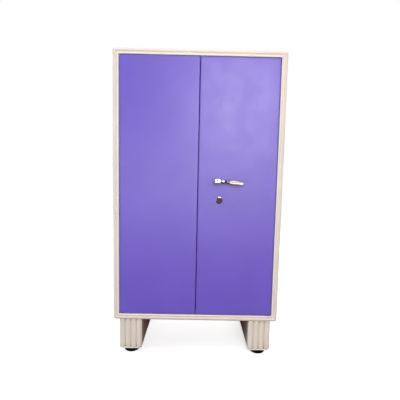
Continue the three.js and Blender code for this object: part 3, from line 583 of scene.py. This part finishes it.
def runner(side, sign):
    """The shell: fluted front and plain sides, all bent under at the bottom."""
    low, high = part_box(f"runner_shell_{side}")
    centre_x = (low.x + high.x) / 2 / MM
    half = (high.x - low.x) / 2 / MM
    front, rear = low.y / MM, high.y / MM
    bottom, top = low.z / MM, high.z / MM
    pitch = 2 * half / RIBS
    wall = [front + reach for reach in WALL_STATIONS] + [(front + rear) / 2, rear]
    shoulder = front + RIB_DEPTH + 3

    # The plan's points: x, y, the way the bottom bend draws each in x and in y, and its depth in a groove.
    plan = [(-half, y, 1.0, 0.0, 0.0) for y in reversed(wall)] + [(-half, shoulder, 1.0, 0.2, 0.0)]
    for i in range(RIBS * RIB_STEPS + 1):
        bulge = abs(math.sin(math.pi * i / RIB_STEPS)) ** RIB_FULLNESS
        x = -half + pitch * i / RIB_STEPS
        side_share = max(0.0, (abs(x) - half + 10) / 10)
        groove = 0.0 if i in (0, RIBS * RIB_STEPS) else 1 - bulge
        plan.append((x, front + RIB_DEPTH * (1 - bulge), math.copysign(side_share, -x), 1.0, groove))
    plan += [(half, shoulder, -1.0, 0.2, 0.0)] + [(half, y, -1.0, 0.0, 0.0) for y in wall]

    # The levels: z, and how far the bottom bend has drawn the wall in.
    levels = [(top, 0.0), (top - 6, 0.0), (top - 11, 0.0), (top - 16, 0.0), (bottom + 60, 0.0)]
    levels += [(bottom + 24, 0.0), (bottom + 19, 0.0), (bottom + 15, 0.0)]
    bend = BOTTOM_BEND
    for k in range(BOTTOM_BEND_STEPS + 1):
        a = math.radians(90 * k / BOTTOM_BEND_STEPS)
        levels.append((bottom + bend * (1 - math.sin(a)), bend * (1 - math.cos(a))))
    levels.append((bottom, bend + 10))
    bm = new_mesh()
    rows = []
    for z, inward in levels:
        row = []
        low_notch = max(0.0, 1 - max(0.0, z - bottom - HEM_HEIGHT) / 11.0)
        high_notch = max(0.0, 1 - (top - z) / 16.0)
        notch = NOTCH_DEPTH * max(low_notch, 0.8 * high_notch)
        for x, y, push_x, push_y, groove in plan:
            shift_y = FRONT_BEND_SHARE * inward * push_y + notch * groove ** 1.5
            row.append(Vector(((centre_x + x + inward * push_x) * MM, (y + shift_y) * MM, z * MM)))
        rows.append(row)
    made = grid(bm, rows)
    wear, primer_shade, painted_shade = (bm.verts.layers.float[name] for name in ("wear", "primer_shade", "painted_shade"))
    for row, (z, _) in zip(made, levels):
        low_down = max(0.0, 1 - (z - bottom) / 45.0)
        near_end = max(low_down ** 3, max(0.0, 1 - (top - z) / 14.0))
        for vert, (x, y, _, _, groove) in zip(row, plan):
            vert[wear] = min(1.0, 0.5 * groove + 0.8 * low_down)
            # Painted shade in the grooves, darkest at their top and bottom ends.
            vert[painted_shade] = groove ** 1.3 * (0.2 + 0.8 * near_end)
            # The inner wall under the cupboard takes a brown primer tone that also stands in for shade
            # there, and painted shade that deepens towards the rear and the top.
            if x * sign < 1 - half:
                under = max(0.0, 1 - (top - z) / 24.0)
                vert[primer_shade] = min(1.0, max(0.0, (y - front - 12) / 60.0))
                vert[painted_shade] = vert[primer_shade] * min(0.8, max(0.0, (y - front - 80) / 180.0) + 0.35 * under)
    shell = piece(
        f"runner_{side}_shell", bm, "cream_paint", "cabinet", f"runner_shell_{side}", smooth_angle=40
    )
    thick = shell.modifiers.new("thickness", "SOLIDIFY")
    thick.thickness = RUNNER_SHEET * MM
    thick.offset = -1.0


def runner_base(side):
    """The base plate between the bends, its front edge a rolled hem, its rear turned up."""
    low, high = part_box(f"runner_base_{side}")
    shell_low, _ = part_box(f"runner_shell_{side}")
    inset = (BOTTOM_BEND + 1) * MM
    bm = new_mesh()
    rounded_box(
        bm, Vector((low.x + inset, low.y - 2 * MM, low.z + 0.4 * MM)),
        Vector((high.x - inset, high.y, low.z + 2.4 * MM)), 0.5 * MM, 2,
    )
    rounded_box(
        bm, Vector((low.x, high.y - 2.0 * MM, low.z + 2 * MM)),
        Vector((high.x, high.y, high.z)), 0.5 * MM, 2,
    )
    hem_low = Vector((low.x + inset - 2 * MM, shell_low.y + 1.0 * MM, low.z + 0.05 * MM))
    hem_high = Vector((high.x - inset + 2 * MM, low.y, low.z + HEM_HEIGHT * MM))
    hem = rounded_box(bm, hem_low, hem_high, 1.6 * MM, 5)
    rub_and_highlight = bm.verts.layers.float["rub_and_highlight"]
    # The hem gets a lighter tone, partly rubbed paint and partly a painted highlight.
    for v in hem:
        v[rub_and_highlight] = 0.35
    piece(f"runner_{side}_base", bm, "cream_paint", "cabinet", f"runner_base_{side}")


def foot(end, side):
    """A moulded rubber foot: a round-edged disc with a line round its side and a ring in its tread."""
    low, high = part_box(f"foot_{end}_{side}")
    centre = Vector(((low.x + high.x) / 2, (low.y + high.y) / 2, 0))
    top = high.z / MM
    profile = [(0, 9.0), (8.5, 9.0)]
    profile += arc(9.7, 0.7, 0.7, 180, 270, 3)
    profile += [(27.0, 0.0), (27.4, 0.8), (29.2, 0.8), (29.6, 0.0)]
    profile += arc(35.2, 3.4, 3.4, 270, 348, 7)
    profile += [(38.8, 7.6), (38.5, 8.4), (37.3, 8.8), (37.3, 10.0), (38.6, 10.4), (39.0, 11.4)]
    profile += arc(37.4, top - 1.6, 1.6, 0, 90, 4)
    profile += [(0, top)]
    bm = new_mesh()
    lathe(bm, profile, centre)
    piece(f"foot_{end}_{side}_moulding", bm, "rubber", "cabinet", f"foot_{end}_{side}")


def build_runners():
    for side, sign in (("left", -1), ("right", 1)):
        runner(side, sign)
        runner_base(side)
        for end in ("front", "rear"):
            foot(end, side)


# ---------------------------------------------------------------- lever handle
DROOP = math.radians(4.8)
HUB_HALF = (14.5, 10.0)
REACH = 45.0
LEVER_AXIS = -33.0
SCREW = (-2.0, 3.0)
NECK_END = 58.0
NECK_SHADE_RADIUS = 6.75
SECTION_POINTS = 72
SQUARENESS = 4.5
FLUTE_Z = 3.0
FLUTE_HALF_HEIGHT = 1.2

# The grip's stations: x, half depth, half height, shift in z, scale, and the flute's depth.
GRIP = [
    (57.9, 9.0, 9.8, 0.0, 0.55, 0.0),
    (58.1, 9.2, 10.2, 0.0, 0.82, 0.0),
    (59.2, 9.4, 10.4, 0.0, 0.95, 0.0),
    (61.0, 9.6, 10.6, 0.0, 1.0, 0.5),
    (64.0, 9.8, 10.7, 0.0, 1.0, 1.7),
    (82.0, 9.9, 10.7, 0.0, 1.0, 1.8),
    (98.0, 9.9, 10.7, 0.0, 1.0, 1.6),
    (101.0, 9.9, 10.7, 0.0, 1.0, 0.5),
    (102.0, 9.9, 10.6, 0.0, 0.99, 0.0),
    (102.6, 9.3, 9.4, -1.1, 0.97, 0.0),
    (103.2, 9.2, 8.9, -1.7, 1.0, 0.0),
    (122.8, 9.2, 8.8, -1.8, 1.0, 0.0),
    (124.4, 9.2, 8.8, -1.8, 0.97, 0.0),
    (125.2, 9.2, 8.8, -1.8, 0.90, 0.0),
    (125.4, 9.2, 8.8, -1.8, 0.78, 0.0),
]


def squircle(half_depth, half_height, shift, scale, flute):
    """A squared round section in (Y, Z), with an optional flute along the front of its upper third."""
    points = []
    for k in range(SECTION_POINTS):
        a = 2 * math.pi * k / SECTION_POINTS
        c, s = math.cos(a), math.sin(a)
        r = (abs(c) ** SQUARENESS + abs(s) ** SQUARENESS) ** (-1 / SQUARENESS)
        y = -half_depth * r * c * scale
        z = half_height * r * s * scale
        if c > 0.1:
            y += flute * math.exp(-(((z - FLUTE_Z) / FLUTE_HALF_HEIGHT) ** 2))
        points.append(Vector((0, LEVER_AXIS + y, z + shift)))
    return points


def build_lever():
    """Hub block, waisted collar, ring and a squared grip that steps down to its tip."""
    origin = Vector((SPINDLE.x, DOOR_FACE_Y, SPINDLE.z))
    tilt = Matrix.Translation(origin) @ Matrix.Rotation(DROOP, 4, "Y")
    bm = new_mesh()
    rounded_box(
        bm, Vector((-HUB_HALF[0], -REACH + 0.4, -HUB_HALF[1])) * MM,
        Vector((HUB_HALF[0], -2.6, HUB_HALF[1])) * MM, 2.4 * MM, 5,
    )
    axis = Vector((0, LEVER_AXIS * MM, 0))
    neck = [(0, 8), (6.4, 8), (6.4, 19.4)]
    neck += [(6.9, 20.3), (9.6, 20.4)]
    neck += arc(9.7, 21.7, 1.3, 270, 350, 5)
    neck += [(10.7, 25.0), (10.6, 26.7), (10.7, 28.4)]
    neck += arc(9.7, 31.6, 1.3, 10, 90, 5)
    neck += [(6.8, 33.0), (6.2, 34.0), (6.0, 38.8), (6.2, 43.6), (6.5, 44.5), (6.9, 44.7)]
    neck += arc(6.9, 46.3, 1.6, 280, 420, 7)
    neck += [(6.7, 48.6), (6.7, 49.2)]
    neck += arc(6.3, 51.9, 2.2, 300, 420, 8)
    neck += [(6.5, 55.0), (7.0, 56.4), (6.0, 57.0), (6.0, 62), (0, 62)]
    lathe(bm, neck, axis, "X", 56)

    # Index 0 is the chromed hub and rings, 1 the neck between them, painted black as shade in its recess,
    # and 2 the satin grip.
    for f in bm.faces:
        at = f.calc_center_median() / MM
        from_axis = math.hypot(at.y - LEVER_AXIS, at.z)
        if HUB_HALF[0] < at.x < NECK_END and from_axis < NECK_SHADE_RADIUS:
            f.material_index = 1
    neck_faces = set(bm.faces)
    rows = []
    for x, *shape in GRIP:
        rows.append([(p + Vector((x, 0, 0))) * MM for p in squircle(*shape)])
    made = grid(bm, rows, closed_columns=True)
    bm.faces.new(made[0])
    bm.faces.new(list(reversed(made[-1])))
    for f in set(bm.faces) - neck_faces:
        f.material_index = 2
    bmesh.ops.transform(bm, matrix=tilt, verts=bm.verts)
    metals = [PAINT["chrome"], BLACK_OXIDE_AND_SHADE, SATIN_NICKEL]
    piece("lever_handle", bm, "chrome", "handle", "handle_lever", materials=metals)

    # The blackened set screw in the hub's face: a low domed head round a shallow socket.
    screw = new_mesh()
    centre = Vector((SCREW[0], 0, SCREW[1])) * MM
    head = [(0, 0.35), (1.5, 0.35), (1.6, 0.08), (2.4, 0.0), (3.2, 0.08), (3.8, 0.38)]
    head += [(3.8, 3.0), (0, 3.0)]
    lathe(screw, [(radius, depth - REACH) for radius, depth in head], centre, "Y", 32)
    bmesh.ops.transform(screw, matrix=tilt, verts=screw.verts)
    piece("lever_screw", screw, "chrome", "handle", materials=[BLACK_OXIDE_AND_SHADE])


# ---------------------------------------------------------------- lock
LOCK_RADIUS = 17.5
LOCK_LOBES = 10
LOCK_STEPS = 120
SCALLOP_DEPTH = 0.05
LOCK_CRANK = 6.0


def build_lock():
    """A round bezel with a scalloped rim and a bronzed face, and the key plug in its middle."""
    centre = Vector((LOCK.x, DOOR_FACE_Y, LOCK.z))
    rim = LOCK_RADIUS
    bm = new_mesh()
    profile = [(8.3, -0.3), (rim - 0.4, -0.3), (rim, -0.7), (rim, -2.2), (rim - 0.3, -2.7)]
    profile += [(rim - 1.6, -3.05), (rim - 2.9, -3.4), (rim - 3.4, -3.5), (rim - 3.8, -3.3)]
    profile += [(rim - 4.2, -3.1), (10.0, -3.3), (9.2, -3.5), (8.3, -3.2), (8.3, -0.3)]
    rows = []
    for k in range(LOCK_STEPS):
        a = 2 * math.pi * k / LOCK_STEPS
        row = []
        for radius, along in profile:
            share = max(0.0, min(1.0, (radius - rim + 4.0) / 3.0))
            scallop = 1 - SCALLOP_DEPTH * share * (1 - abs(math.cos(a * LOCK_LOBES / 2)) ** 0.7)
            x, z = radius * scallop * math.cos(a), radius * scallop * math.sin(a)
            row.append(Vector((x, along, z)) * MM + centre)
        rows.append(row)
    grid(bm, rows, closed_rows=True)

    # The rim is plated and the face inside it bronzed.
    for f in bm.faces:
        reach = (f.calc_center_median() - centre) / MM
        if math.hypot(reach.x, reach.z) < rim - 3.0 and reach.y < -2.0:
            f.material_index = 1
    piece("lock_bezel_rim", bm, "chrome", "right_door", "lock_bezel", materials=[LOCK_RIM, LOCK_FACE])

    plug = new_mesh()
    tail = (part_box("lock_plug")[1].y - DOOR_FACE_Y) / MM
    plug_profile = [(0, -3.2), (1.4, -3.2), (1.4, -3.9), (7.2, -3.9), (7.9, -3.4)]
    plug_profile += [(7.9, tail - 5), (0, tail - 5)]
    lathe(plug, plug_profile, centre, "Y", 48)
    rounded_box(
        plug, centre + Vector((-0.8, -4.0, -4.2)) * MM, centre + Vector((0.8, -2.0, 4.2)) * MM, 0.2 * MM, 2
    )
    crank = LOCK_CRANK * math.sqrt(0.5)
    lathe(
        plug, [(0, tail - 6), (2, tail - 6), (2, tail - 0.3), (1.7, tail), (0, tail)],
        centre + Vector((-crank, 0, -crank)) * MM, "Y", 24,
    )
    piece("lock_key_plug", plug, "chrome", "key_plug", "lock_plug", materials=[LOCK_FACE])


# ---------------------------------------------------------------- back panel
CAP_BEND = 8 * MM
CAP_BEND_STEPS = 4
BACK_COLUMNS = 60
BACK_ROWS = 140
BACK_MARGIN = 45 * MM
SWAGE_PLACES = (0.22, 0.5, 0.78)
SWAGE_DEPTH = 3.2 * MM
SWAGE_HALF_HEIGHT = 16 * MM
SWAGE_RUN_OUT = 25 * MM


def build_back():
    """The rear sheet with three pressed swages and a flat margin where it is spot welded."""
    low, high = PANEL_LOW, PANEL_HIGH
    swages = [low.z + (high.z - low.z) * t for t in SWAGE_PLACES]

    def press(x, z):
        """How far the sheet is pressed inwards."""
        along = max(0.0, min(1.0, (HALF_WIDTH - BACK_MARGIN - abs(x)) / SWAGE_RUN_OUT))
        across = sum(math.exp(-(((z - s) / SWAGE_HALF_HEIGHT) ** 4)) for s in swages)
        smooth = along * along * (3 - 2 * along)
        return -SWAGE_DEPTH * smooth * across

    def rounded(x, y, z):
        """Draws the two upper corners in to follow the cap's bends."""
        over_x = abs(x) - (HALF_WIDTH - CAP_BEND)
        over_z = z - (high.z - CAP_BEND)
        if over_x > 0 and over_z > 0:
            share = max(over_x, over_z) / math.hypot(over_x, over_z)
            x = math.copysign(HALF_WIDTH - CAP_BEND + over_x * share, x)
            z = high.z - CAP_BEND + over_z * share
        return Vector((x, y, z))

    bend_steps = [CAP_BEND * k / CAP_BEND_STEPS for k in range(CAP_BEND_STEPS + 1)]
    zs = [low.z + (high.z - low.z - CAP_BEND) * k / BACK_ROWS for k in range(BACK_ROWS)]
    zs += [high.z - step for step in reversed(bend_steps)]
    xs = [step - HALF_WIDTH for step in bend_steps]
    xs += [(HALF_WIDTH - CAP_BEND) * (2 * k / BACK_COLUMNS - 1) for k in range(1, BACK_COLUMNS)]
    xs += [HALF_WIDTH - step for step in reversed(bend_steps)]
    bm = new_mesh()
    outer = grid(bm, [[rounded(x, high.y + press(x, z), z) for x in xs] for z in zs])
    inner = grid(bm, [[rounded(x, low.y + press(x, z), z) for x in xs] for z in zs])
    for k in range(len(zs) - 1):
        bm.faces.new((outer[k][0], inner[k][0], inner[k + 1][0], outer[k + 1][0]))
        bm.faces.new((outer[k][-1], outer[k + 1][-1], inner[k + 1][-1], inner[k][-1]))
    for k in range(len(xs) - 1):
        bm.faces.new((outer[0][k], outer[0][k + 1], inner[0][k + 1], inner[0][k]))
        bm.faces.new((outer[-1][k], inner[-1][k], inner[-1][k + 1], outer[-1][k + 1]))
    piece("back_sheet", bm, "cream_paint", "cabinet", "back_panel")


# ---------------------------------------------------------------- CAD nodes that stay
SOFT_EDGE = 0.4 * MM
WELD_DISTANCE = 1e-5


def finish_cad_nodes():
    """Every shown CAD node gets its slot's material, welded corners and softened edges."""
    slot_of = {s["node"]: s["material_slot"] for s in frame["record"]["subparts"]}
    for name, obj in frame["nodes"].items():
        if obj.hide_render:
            continue
        obj.data.materials.clear()
        obj.data.materials.append(PAINT[slot_of[name]])
        low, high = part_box(name)
        smallest = min(high - low)
        weld = obj.modifiers.new("weld", "WELD")
        weld.merge_threshold = WELD_DISTANCE
        bevel = obj.modifiers.new("soft_edges", "BEVEL")
        bevel.width = min(SOFT_EDGE, smallest * 0.2)
        bevel.segments = 2
        bevel.limit_method = "ANGLE"
        bevel.angle_limit = math.radians(35)
        bevel.harden_normals = True
        for polygon in obj.data.polygons:
            polygon.use_smooth = True


build_frame()
build_doors()
build_runners()
build_lever()
build_lock()
build_back()
finish_cad_nodes()


# ---------------------------------------------------------------- camera
CAMERA_X = -0.0003
CAMERA_FROM_FRONT = 1.5567
CAMERA_OVER_CARCASS_BOTTOM = 0.7634
PITCH, YAW, ROLL = (math.radians(a) for a in (5.225, 0.442, 1.221))
LENS_MM = 28.46


def add_camera():
    data = bpy.data.cameras.new("camera")
    data.lens = LENS_MM
    data.sensor_width = 36.0
    camera = bpy.data.objects.new("camera", data)
    bpy.context.scene.collection.objects.link(camera)
    level = Matrix.Rotation(math.pi / 2, 4, "X")
    tip = Matrix.Rotation(-PITCH, 4, "X") @ Matrix.Rotation(ROLL, 4, "Z")
    turn = Matrix.Rotation(-YAW, 4, "Z") @ level @ tip
    place = Vector((CAMERA_X, FRONT_Y - CAMERA_FROM_FRONT, CARCASS_BOTTOM + CAMERA_OVER_CARCASS_BOTTOM))
    camera.matrix_world = Matrix.Translation(place) @ turn
    bpy.context.scene.camera = camera


# ---------------------------------------------------------------- studio
WORLD_ABOVE = 0.55
WORLD_BELOW = 0.06
WORLD_TINT_ABOVE = (0.95, 0.97, 1.0)
WORLD_TINT_BELOW = (1.0, 0.66, 0.50)
FLOOR_GLOW = 0.62
FLOOR_RADIUS = 14.0
DOME_RADIUS = 15.0


def area_light(name, place, target, size, watts, colour=(1, 1, 1)):
    data = bpy.data.lights.new(name, "AREA")
    data.shape = "RECTANGLE"
    data.size, data.size_y = size
    data.energy = watts
    data.color = colour
    light = bpy.data.objects.new(name, data)
    bpy.context.scene.collection.objects.link(light)
    direction = Vector(target) - Vector(place)
    light.rotation_euler = direction.to_track_quat("-Z", "Y").to_euler()
    light.location = place
    light.visible_camera = False


def stage_mesh(name, bm, material):
    mesh = bpy.data.meshes.new(name)
    bm.to_mesh(mesh)
    bm.free()
    mesh.materials.append(material)
    obj = bpy.data.objects.new(name, mesh)
    bpy.context.scene.collection.objects.link(obj)
    return obj


def add_world():
    """Soft white light from above the horizon, and a faint warm one from below it."""
    world = bpy.data.worlds.new("studio")
    world.use_nodes = True
    nodes, links = world.node_tree.nodes, world.node_tree.links
    place = nodes.new("ShaderNodeTexCoord").outputs["Generated"]
    split = nodes.new("ShaderNodeSeparateXYZ")
    links.new(place, split.inputs["Vector"])
    height = nodes.new("ShaderNodeMapRange")
    height.interpolation_type = "SMOOTHSTEP"
    height.inputs["From Min"].default_value = -0.08
    height.inputs["From Max"].default_value = 0.5
    height.inputs["To Min"].default_value = WORLD_BELOW
    height.inputs["To Max"].default_value = WORLD_ABOVE
    links.new(split.outputs["Z"], height.inputs["Value"])
    tint = nodes.new("ShaderNodeMix")
    tint.data_type = "RGBA"
    tint.inputs[6].default_value = (*WORLD_TINT_BELOW, 1.0)
    tint.inputs[7].default_value = (*WORLD_TINT_ABOVE, 1.0)
    share = nodes.new("ShaderNodeMapRange")
    share.inputs["From Min"].default_value = -0.05
    share.inputs["From Max"].default_value = 0.25
    links.new(split.outputs["Z"], share.inputs["Value"])
    links.new(share.outputs["Result"], tint.inputs["Factor"])
    background = nodes["Background"]
    links.new(tint.outputs[2], background.inputs["Color"])
    links.new(height.outputs["Result"], background.inputs["Strength"])
    bpy.context.scene.world = world


def add_floor():
    """A plain pale floor, kept out of the object's own light."""
    floor = Tree("floor")
    floor.colour(floor.mix(floor.span(floor.noise(3.0), 0.3, 0.7), (0.80, 0.80, 0.80), (0.83, 0.83, 0.83)))
    floor.set(Roughness=0.8, Emission_Color=(1, 1, 1, 1), Emission_Strength=FLOOR_GLOW)
    bm = bmesh.new()
    bmesh.ops.create_circle(bm, cap_ends=True, segments=96, radius=FLOOR_RADIUS)
    ground = stage_mesh("floor", bm, floor.material)
    ground.visible_diffuse = False
    ground.visible_glossy = False


def add_backdrop():
    """A white dome that only the camera sees."""
    white = bpy.data.materials.new("white_backdrop")
    white.use_nodes = True
    nodes = white.node_tree.nodes
    nodes.remove(nodes["Principled BSDF"])
    glow = nodes.new("ShaderNodeEmission")
    glow.inputs["Strength"].default_value = 1.0
    white.node_tree.links.new(glow.outputs["Emission"], nodes["Material Output"].inputs["Surface"])
    bm = bmesh.new()
    bmesh.ops.create_uvsphere(bm, u_segments=48, v_segments=24, radius=DOME_RADIUS)
    dome = stage_mesh("backdrop", bm, white)
    dome.visible_diffuse = False
    dome.visible_glossy = False
    dome.visible_transmission = False
    dome.visible_shadow = False


def add_lights():
    """A key and a wide fill in front, a cool window on the left, and fills above, beside and behind."""
    aim = (0.0, FRONT_Y, 0.9)
    area_light("key", (0.60, -3.1, 1.95), (0.20, FRONT_Y, 1.25), (1.35, 1.3), 43, (1.0, 0.98, 0.97))
    area_light("front", (0.1, -3.4, 0.70), (0, FRONT_Y, 0.5), (3.4, 1.3), 39)
    area_light("window", (-2.9, -0.9, 1.1), aim, (0.9, 2.0), 40, (0.52, 0.73, 1.0))
    area_light("overhead", (0.0, -0.9, 3.4), (0, -0.2, 0), (2.2, 1.2), 20)
    area_light("side", (3.3, 0.3, 1.3), (HALF_WIDTH, 0.1, 0.9), (1.6, 2.2), 22)
    area_light("rear", (0.4, 3.0, 2.6), (0, 0.2, 0.9), (2.2, 1.6), 40)


def add_studio():
    bpy.context.scene.view_settings.view_transform = "Standard"
    add_world()
    add_floor()
    add_backdrop()
    add_lights()


add_camera()
add_studio()
